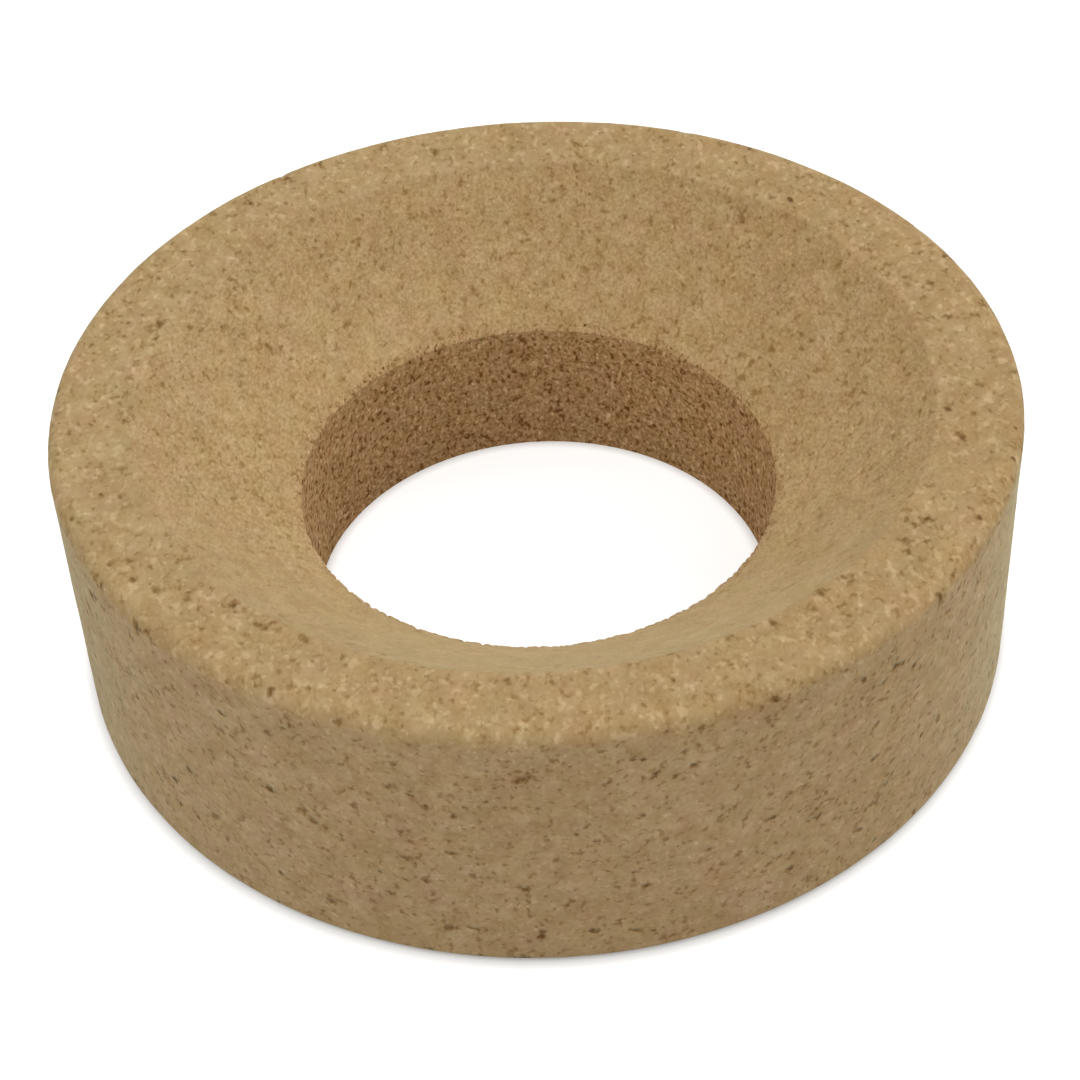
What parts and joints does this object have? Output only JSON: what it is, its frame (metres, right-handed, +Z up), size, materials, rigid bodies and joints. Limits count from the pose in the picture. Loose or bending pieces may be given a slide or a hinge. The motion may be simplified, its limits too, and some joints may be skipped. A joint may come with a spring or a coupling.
{
  "type": "cork ring",
  "caption": "Pressed cork ring with a funnel-shaped seat and a through bore that holds a round-bottomed laboratory flask upright on a bench.",
  "frame": {"origin": "middle of the base, on the plane that the ring stands on", "axes": "+Z up along the ring's axis, towards the flask seat; the ring is round, so X and Y are free"},
  "size_m": [0.1124, 0.1124, 0.0338],
  "materials": {
    "cork": "fine-grained pressed cork, matt, with small dark pits and pale granules"
  },
  "bodies": {
    "root": {"cork_ring": "cork"}
  },
  "joints": []
}
